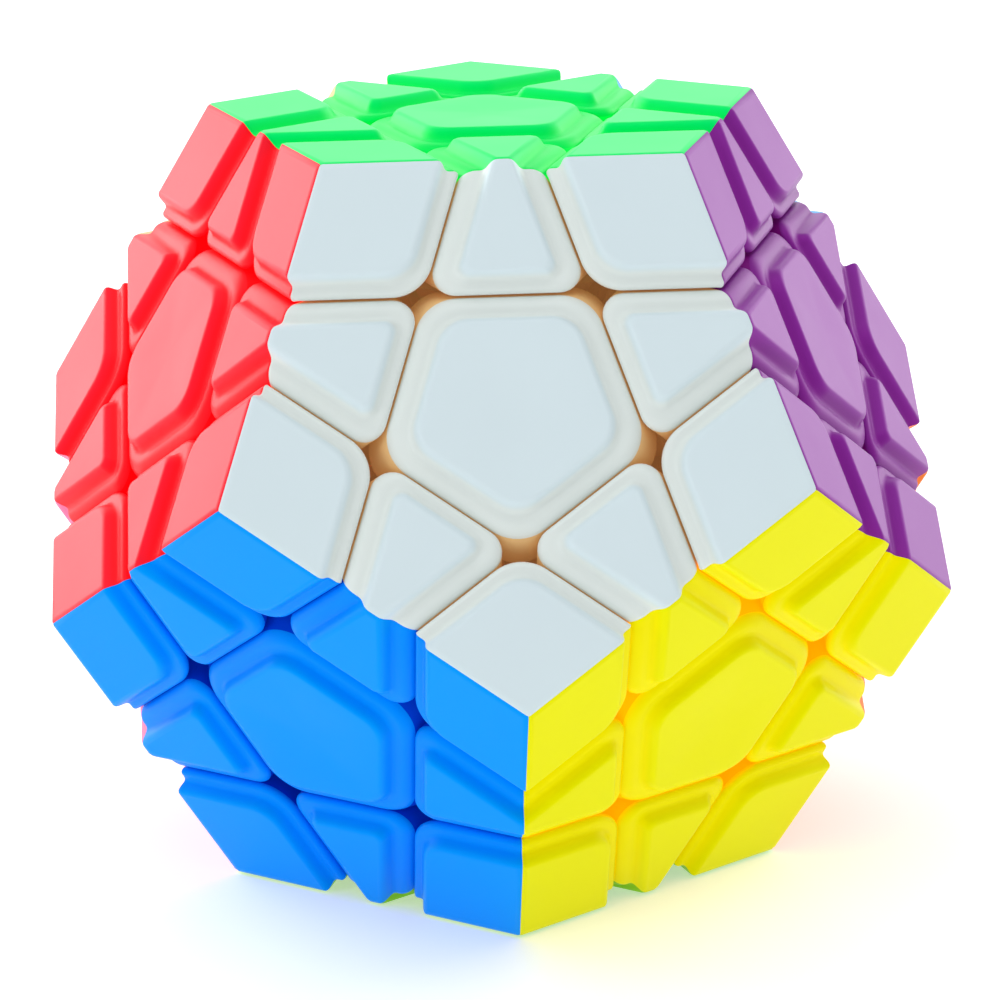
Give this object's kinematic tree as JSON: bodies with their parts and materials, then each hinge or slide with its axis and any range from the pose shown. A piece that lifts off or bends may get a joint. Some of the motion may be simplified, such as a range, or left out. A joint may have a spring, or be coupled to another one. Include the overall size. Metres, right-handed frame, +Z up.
{
  "type": "dodecahedron twisty puzzle",
  "caption": "Face-turning dodecahedron puzzle with raised moulded-colour tiles: corner, edge and centre pieces hooked round a core, every layer turning about its own face.",
  "frame": {"origin": "middle of the lime face that the puzzle rests on", "axes": "+Z up through the green face; -Y is the side of the white face, and +X is to the right seen from there"},
  "size_m": [0.089, 0.0936, 0.0757],
  "materials": {
    "green": "satin, moulded in colour",
    "white": "satin, moulded in colour",
    "purple": "satin, moulded in colour",
    "sky": "satin, moulded in colour",
    "cream": "satin, moulded in colour",
    "red": "satin, moulded in colour",
    "grey": "satin, moulded in colour",
    "pink": "satin, moulded in colour",
    "blue": "satin, moulded in colour",
    "yellow": "satin, moulded in colour",
    "orange": "satin, moulded in colour",
    "lime": "satin, moulded in colour",
    "core": "satin nylon, with plated steel screws"
  },
  "bodies": {
    "core": {"core": "core"},
    "centre_green": {"centre_green": "green"},
    "centre_white": {"centre_white": "white"},
    "centre_purple": {"centre_purple": "purple"},
    "centre_sky": {"centre_sky": "sky"},
    "centre_cream": {"centre_cream": "cream"},
    "centre_red": {"centre_red": "red"},
    "centre_grey": {"centre_grey": "grey"},
    "centre_pink": {"centre_pink": "pink", "edge_pink_lime": "pink"},
    "centre_blue": {"centre_blue": "blue", "edge_blue_lime": "blue"},
    "centre_yellow": {"centre_yellow": "yellow", "edge_yellow_lime": "yellow"},
    "centre_orange": {"centre_orange": "orange", "edge_orange_lime": "orange"},
    "edge_blue_yellow": {"edge_blue_yellow": "blue", "corner_blue_yellow_lime": "blue"},
    "edge_cream_grey": {"edge_cream_grey": "cream"},
    "edge_cream_pink": {"edge_cream_pink": "cream"},
    "edge_cream_red": {"edge_cream_red": "cream"},
    "edge_green_cream": {"edge_green_cream": "green"},
    "edge_green_purple": {"edge_green_purple": "green"},
    "edge_green_red": {"edge_green_red": "green"},
    "edge_green_sky": {"edge_green_sky": "green"},
    "edge_green_white": {"edge_green_white": "green"},
    "edge_grey_orange": {"edge_grey_orange": "grey"},
    "edge_grey_pink": {"edge_grey_pink": "grey", "corner_grey_pink_lime": "grey"},
    "edge_pink_blue": {"edge_pink_blue": "pink", "corner_pink_blue_lime": "pink"},
    "edge_purple_orange": {"edge_purple_orange": "purple"},
    "edge_purple_sky": {"edge_purple_sky": "purple"},
    "edge_purple_yellow": {"edge_purple_yellow": "purple"},
    "edge_red_blue": {"edge_red_blue": "red"},
    "edge_red_pink": {"edge_red_pink": "red"},
    "edge_sky_cream": {"edge_sky_cream": "sky"},
    "edge_sky_grey": {"edge_sky_grey": "sky"},
    "edge_sky_orange": {"edge_sky_orange": "sky"},
    "edge_white_blue": {"edge_white_blue": "white"},
    "edge_white_purple": {"edge_white_purple": "white"},
    "edge_white_red": {"edge_white_red": "white"},
    "edge_white_yellow": {"edge_white_yellow": "white"},
    "edge_yellow_orange": {"edge_yellow_orange": "yellow", "corner_yellow_orange_lime": "yellow"},
    "corner_cream_grey_pink": {"corner_cream_grey_pink": "cream"},
    "corner_cream_red_pink": {"corner_cream_red_pink": "cream"},
    "corner_green_cream_red": {"corner_green_cream_red": "green"},
    "corner_green_purple_sky": {"corner_green_purple_sky": "green"},
    "corner_green_sky_cream": {"corner_green_sky_cream": "green"},
    "corner_green_white_purple": {"corner_green_white_purple": "green"},
    "corner_green_white_red": {"corner_green_white_red": "green"},
    "corner_purple_sky_orange": {"corner_purple_sky_orange": "purple"},
    "corner_purple_yellow_orange": {"corner_purple_yellow_orange": "purple"},
    "corner_red_pink_blue": {"corner_red_pink_blue": "red"},
    "corner_sky_cream_grey": {"corner_sky_cream_grey": "sky"},
    "corner_sky_grey_orange": {"corner_sky_grey_orange": "sky"},
    "corner_white_blue_yellow": {"corner_white_blue_yellow": "white"},
    "corner_white_purple_yellow": {"corner_white_purple_yellow": "white"},
    "corner_white_red_blue": {"corner_white_red_blue": "white"}
  },
  "joints": [
    {"name": "turn_green", "type": "hinge", "parent": "core", "child": "centre_green", "pos_m": [0, 0, 0.03786], "axis": [0, 0, 1], "range_deg": [-216, 144]},
    {"name": "turn_white", "type": "hinge", "parent": "core", "child": "centre_white", "pos_m": [0, 0, 0.03786], "axis": [0, -0.8944, 0.4472], "range_deg": [-216, 144]},
    {"name": "turn_purple", "type": "hinge", "parent": "core", "child": "centre_purple", "pos_m": [0, 0, 0.03786], "axis": [0.8507, -0.2764, 0.4472], "range_deg": [-216, 144]},
    {"name": "turn_sky", "type": "hinge", "parent": "core", "child": "centre_sky", "pos_m": [0, 0, 0.03786], "axis": [0.5257, 0.7236, 0.4472], "range_deg": [-216, 144]},
    {"name": "turn_cream", "type": "hinge", "parent": "core", "child": "centre_cream", "pos_m": [0, 0, 0.03786], "axis": [-0.5257, 0.7236, 0.4472], "range_deg": [-216, 144]},
    {"name": "turn_red", "type": "hinge", "parent": "core", "child": "centre_red", "pos_m": [0, 0, 0.03786], "axis": [-0.8507, -0.2764, 0.4472], "range_deg": [-216, 144]},
    {"name": "turn_grey", "type": "hinge", "parent": "core", "child": "centre_grey", "pos_m": [0, 0, 0.03786], "axis": [0, 0.8944, -0.4472], "range_deg": [-216, 144]},
    {"name": "turn_pink", "type": "hinge", "parent": "core", "child": "centre_pink", "pos_m": [0, 0, 0.03786], "axis": [-0.8507, 0.2764, -0.4472], "range_deg": [-216, 144]},
    {"name": "turn_blue", "type": "hinge", "parent": "core", "child": "centre_blue", "pos_m": [0, 0, 0.03786], "axis": [-0.5257, -0.7236, -0.4472], "range_deg": [-216, 144]},
    {"name": "turn_yellow", "type": "hinge", "parent": "core", "child": "centre_yellow", "pos_m": [0, 0, 0.03786], "axis": [0.5257, -0.7236, -0.4472], "range_deg": [-216, 144]},
    {"name": "turn_orange", "type": "hinge", "parent": "core", "child": "centre_orange", "pos_m": [0, 0, 0.03786], "axis": [0.8507, 0.2764, -0.4472], "range_deg": [-216, 144]},
    {"name": "edge_blue_yellow_on_yellow", "type": "hinge", "parent": "centre_blue", "child": "edge_blue_yellow", "pos_m": [0, 0, 0.03786], "axis": [0.5257, -0.7236, -0.4472], "range_deg": [-216, 144]},
    {"name": "edge_cream_grey_on_grey", "type": "hinge", "parent": "centre_cream", "child": "edge_cream_grey", "pos_m": [0, 0, 0.03786], "axis": [0, 0.8944, -0.4472], "range_deg": [-216, 144]},
    {"name": "edge_cream_pink_on_cream", "type": "hinge", "parent": "centre_pink", "child": "edge_cream_pink", "pos_m": [0, 0, 0.03786], "axis": [-0.5257, 0.7236, 0.4472], "range_deg": [-216, 144]},
    {"name": "edge_cream_red_on_red", "type": "hinge", "parent": "centre_cream", "child": "edge_cream_red", "pos_m": [0, 0, 0.03786], "axis": [-0.8507, -0.2764, 0.4472], "range_deg": [-216, 144]},
    {"name": "edge_green_cream_on_green", "type": "hinge", "parent": "centre_cream", "child": "edge_green_cream", "pos_m": [0, 0, 0.03786], "axis": [0, 0, 1], "range_deg": [-216, 144]},
    {"name": "edge_green_purple_on_green", "type": "hinge", "parent": "centre_purple", "child": "edge_green_purple", "pos_m": [0, 0, 0.03786], "axis": [0, 0, 1], "range_deg": [-216, 144]},
    {"name": "edge_green_red_on_green", "type": "hinge", "parent": "centre_red", "child": "edge_green_red", "pos_m": [0, 0, 0.03786], "axis": [0, 0, 1], "range_deg": [-216, 144]},
    {"name": "edge_green_sky_on_green", "type": "hinge", "parent": "centre_sky", "child": "edge_green_sky", "pos_m": [0, 0, 0.03786], "axis": [0, 0, 1], "range_deg": [-216, 144]},
    {"name": "edge_green_white_on_green", "type": "hinge", "parent": "centre_white", "child": "edge_green_white", "pos_m": [0, 0, 0.03786], "axis": [0, 0, 1], "range_deg": [-216, 144]},
    {"name": "edge_grey_orange_on_grey", "type": "hinge", "parent": "centre_orange", "child": "edge_grey_orange", "pos_m": [0, 0, 0.03786], "axis": [0, 0.8944, -0.4472], "range_deg": [-216, 144]},
    {"name": "edge_grey_pink_on_pink", "type": "hinge", "parent": "centre_grey", "child": "edge_grey_pink", "pos_m": [0, 0, 0.03786], "axis": [-0.8507, 0.2764, -0.4472], "range_deg": [-216, 144]},
    {"name": "edge_pink_blue_on_blue", "type": "hinge", "parent": "centre_pink", "child": "edge_pink_blue", "pos_m": [0, 0, 0.03786], "axis": [-0.5257, -0.7236, -0.4472], "range_deg": [-216, 144]},
    {"name": "edge_purple_orange_on_purple", "type": "hinge", "parent": "centre_orange", "child": "edge_purple_orange", "pos_m": [0, 0, 0.03786], "axis": [0.8507, -0.2764, 0.4472], "range_deg": [-216, 144]},
    {"name": "edge_purple_sky_on_sky", "type": "hinge", "parent": "centre_purple", "child": "edge_purple_sky", "pos_m": [0, 0, 0.03786], "axis": [0.5257, 0.7236, 0.4472], "range_deg": [-216, 144]},
    {"name": "edge_purple_yellow_on_yellow", "type": "hinge", "parent": "centre_purple", "child": "edge_purple_yellow", "pos_m": [0, 0, 0.03786], "axis": [0.5257, -0.7236, -0.4472], "range_deg": [-216, 144]},
    {"name": "edge_red_blue_on_red", "type": "hinge", "parent": "centre_blue", "child": "edge_red_blue", "pos_m": [0, 0, 0.03786], "axis": [-0.8507, -0.2764, 0.4472], "range_deg": [-216, 144]},
    {"name": "edge_red_pink_on_pink", "type": "hinge", "parent": "centre_red", "child": "edge_red_pink", "pos_m": [0, 0, 0.03786], "axis": [-0.8507, 0.2764, -0.4472], "range_deg": [-216, 144]},
    {"name": "edge_sky_cream_on_cream", "type": "hinge", "parent": "centre_sky", "child": "edge_sky_cream", "pos_m": [0, 0, 0.03786], "axis": [-0.5257, 0.7236, 0.4472], "range_deg": [-216, 144]},
    {"name": "edge_sky_grey_on_sky", "type": "hinge", "parent": "centre_grey", "child": "edge_sky_grey", "pos_m": [0, 0, 0.03786], "axis": [0.5257, 0.7236, 0.4472], "range_deg": [-216, 144]},
    {"name": "edge_sky_orange_on_orange", "type": "hinge", "parent": "centre_sky", "child": "edge_sky_orange", "pos_m": [0, 0, 0.03786], "axis": [0.8507, 0.2764, -0.4472], "range_deg": [-216, 144]},
    {"name": "edge_white_blue_on_blue", "type": "hinge", "parent": "centre_white", "child": "edge_white_blue", "pos_m": [0, 0, 0.03786], "axis": [-0.5257, -0.7236, -0.4472], "range_deg": [-216, 144]},
    {"name": "edge_white_purple_on_purple", "type": "hinge", "parent": "centre_white", "child": "edge_white_purple", "pos_m": [0, 0, 0.03786], "axis": [0.8507, -0.2764, 0.4472], "range_deg": [-216, 144]},
    {"name": "edge_white_red_on_white", "type": "hinge", "parent": "centre_red", "child": "edge_white_red", "pos_m": [0, 0, 0.03786], "axis": [0, -0.8944, 0.4472], "range_deg": [-216, 144]},
    {"name": "edge_white_yellow_on_white", "type": "hinge", "parent": "centre_yellow", "child": "edge_white_yellow", "pos_m": [0, 0, 0.03786], "axis": [0, -0.8944, 0.4472], "range_deg": [-216, 144]},
    {"name": "edge_yellow_orange_on_orange", "type": "hinge", "parent": "centre_yellow", "child": "edge_yellow_orange", "pos_m": [0, 0, 0.03786], "axis": [0.8507, 0.2764, -0.4472], "range_deg": [-216, 144]},
    {"name": "corner_cream_grey_pink_on_grey", "type": "hinge", "parent": "edge_cream_pink", "child": "corner_cream_grey_pink", "pos_m": [0, 0, 0.03786], "axis": [0, 0.8944, -0.4472], "range_deg": [-216, 144]},
    {"name": "corner_cream_red_pink_on_cream", "type": "hinge", "parent": "edge_red_pink", "child": "corner_cream_red_pink", "pos_m": [0, 0, 0.03786], "axis": [-0.5257, 0.7236, 0.4472], "range_deg": [-216, 144]},
    {"name": "corner_green_cream_red_on_red", "type": "hinge", "parent": "edge_green_cream", "child": "corner_green_cream_red", "pos_m": [0, 0, 0.03786], "axis": [-0.8507, -0.2764, 0.4472], "range_deg": [-216, 144]},
    {"name": "corner_green_purple_sky_on_sky", "type": "hinge", "parent": "edge_green_purple", "child": "corner_green_purple_sky", "pos_m": [0, 0, 0.03786], "axis": [0.5257, 0.7236, 0.4472], "range_deg": [-216, 144]},
    {"name": "corner_green_sky_cream_on_cream", "type": "hinge", "parent": "edge_green_sky", "child": "corner_green_sky_cream", "pos_m": [0, 0, 0.03786], "axis": [-0.5257, 0.7236, 0.4472], "range_deg": [-216, 144]},
    {"name": "corner_green_white_purple_on_purple", "type": "hinge", "parent": "edge_green_white", "child": "corner_green_white_purple", "pos_m": [0, 0, 0.03786], "axis": [0.8507, -0.2764, 0.4472], "range_deg": [-216, 144]},
    {"name": "corner_green_white_red_on_white", "type": "hinge", "parent": "edge_green_red", "child": "corner_green_white_red", "pos_m": [0, 0, 0.03786], "axis": [0, -0.8944, 0.4472], "range_deg": [-216, 144]},
    {"name": "corner_purple_sky_orange_on_purple", "type": "hinge", "parent": "edge_sky_orange", "child": "corner_purple_sky_orange", "pos_m": [0, 0, 0.03786], "axis": [0.8507, -0.2764, 0.4472], "range_deg": [-216, 144]},
    {"name": "corner_purple_yellow_orange_on_yellow", "type": "hinge", "parent": "edge_purple_orange", "child": "corner_purple_yellow_orange", "pos_m": [0, 0, 0.03786], "axis": [0.5257, -0.7236, -0.4472], "range_deg": [-216, 144]},
    {"name": "corner_red_pink_blue_on_red", "type": "hinge", "parent": "edge_pink_blue", "child": "corner_red_pink_blue", "pos_m": [0, 0, 0.03786], "axis": [-0.8507, -0.2764, 0.4472], "range_deg": [-216, 144]},
    {"name": "corner_sky_cream_grey_on_sky", "type": "hinge", "parent": "edge_cream_grey", "child": "corner_sky_cream_grey", "pos_m": [0, 0, 0.03786], "axis": [0.5257, 0.7236, 0.4472], "range_deg": [-216, 144]},
    {"name": "corner_sky_grey_orange_on_orange", "type": "hinge", "parent": "edge_sky_grey", "child": "corner_sky_grey_orange", "pos_m": [0, 0, 0.03786], "axis": [0.8507, 0.2764, -0.4472], "range_deg": [-216, 144]},
    {"name": "corner_white_blue_yellow_on_white", "type": "hinge", "parent": "edge_blue_yellow", "child": "corner_white_blue_yellow", "pos_m": [0, 0, 0.03786], "axis": [0, -0.8944, 0.4472], "range_deg": [-216, 144]},
    {"name": "corner_white_purple_yellow_on_white", "type": "hinge", "parent": "edge_purple_yellow", "child": "corner_white_purple_yellow", "pos_m": [0, 0, 0.03786], "axis": [0, -0.8944, 0.4472], "range_deg": [-216, 144]},
    {"name": "corner_white_red_blue_on_red", "type": "hinge", "parent": "edge_white_blue", "child": "corner_white_red_blue", "pos_m": [0, 0, 0.03786], "axis": [-0.8507, -0.2764, 0.4472], "range_deg": [-216, 144]}
  ],
  "couplings": [
    {"joint": "edge_blue_yellow_on_yellow", "follows": "turn_yellow", "ratio": 1},
    {"joint": "edge_cream_grey_on_grey", "follows": "turn_grey", "ratio": 1},
    {"joint": "edge_cream_pink_on_cream", "follows": "turn_cream", "ratio": 1},
    {"joint": "edge_cream_red_on_red", "follows": "turn_red", "ratio": 1},
    {"joint": "edge_green_cream_on_green", "follows": "turn_green", "ratio": 1},
    {"joint": "edge_green_purple_on_green", "follows": "turn_green", "ratio": 1},
    {"joint": "edge_green_red_on_green", "follows": "turn_green", "ratio": 1},
    {"joint": "edge_green_sky_on_green", "follows": "turn_green", "ratio": 1},
    {"joint": "edge_green_white_on_green", "follows": "turn_green", "ratio": 1},
    {"joint": "edge_grey_orange_on_grey", "follows": "turn_grey", "ratio": 1},
    {"joint": "edge_grey_pink_on_pink", "follows": "turn_pink", "ratio": 1},
    {"joint": "edge_pink_blue_on_blue", "follows": "turn_blue", "ratio": 1},
    {"joint": "edge_purple_orange_on_purple", "follows": "turn_purple", "ratio": 1},
    {"joint": "edge_purple_sky_on_sky", "follows": "turn_sky", "ratio": 1},
    {"joint": "edge_purple_yellow_on_yellow", "follows": "turn_yellow", "ratio": 1},
    {"joint": "edge_red_blue_on_red", "follows": "turn_red", "ratio": 1},
    {"joint": "edge_red_pink_on_pink", "follows": "turn_pink", "ratio": 1},
    {"joint": "edge_sky_cream_on_cream", "follows": "turn_cream", "ratio": 1},
    {"joint": "edge_sky_grey_on_sky", "follows": "turn_sky", "ratio": 1},
    {"joint": "edge_sky_orange_on_orange", "follows": "turn_orange", "ratio": 1},
    {"joint": "edge_white_blue_on_blue", "follows": "turn_blue", "ratio": 1},
    {"joint": "edge_white_purple_on_purple", "follows": "turn_purple", "ratio": 1},
    {"joint": "edge_white_red_on_white", "follows": "turn_white", "ratio": 1},
    {"joint": "edge_white_yellow_on_white", "follows": "turn_white", "ratio": 1},
    {"joint": "edge_yellow_orange_on_orange", "follows": "turn_orange", "ratio": 1},
    {"joint": "corner_cream_grey_pink_on_grey", "follows": "turn_grey", "ratio": 1},
    {"joint": "corner_cream_red_pink_on_cream", "follows": "turn_cream", "ratio": 1},
    {"joint": "corner_green_cream_red_on_red", "follows": "turn_red", "ratio": 1},
    {"joint": "corner_green_purple_sky_on_sky", "follows": "turn_sky", "ratio": 1},
    {"joint": "corner_green_sky_cream_on_cream", "follows": "turn_cream", "ratio": 1},
    {"joint": "corner_green_white_purple_on_purple", "follows": "turn_purple", "ratio": 1},
    {"joint": "corner_green_white_red_on_white", "follows": "turn_white", "ratio": 1},
    {"joint": "corner_purple_sky_orange_on_purple", "follows": "turn_purple", "ratio": 1},
    {"joint": "corner_purple_yellow_orange_on_yellow", "follows": "turn_yellow", "ratio": 1},
    {"joint": "corner_red_pink_blue_on_red", "follows": "turn_red", "ratio": 1},
    {"joint": "corner_sky_cream_grey_on_sky", "follows": "turn_sky", "ratio": 1},
    {"joint": "corner_sky_grey_orange_on_orange", "follows": "turn_orange", "ratio": 1},
    {"joint": "corner_white_blue_yellow_on_white", "follows": "turn_white", "ratio": 1},
    {"joint": "corner_white_purple_yellow_on_white", "follows": "turn_white", "ratio": 1},
    {"joint": "corner_white_red_blue_on_red", "follows": "turn_red", "ratio": 1}
  ]
}
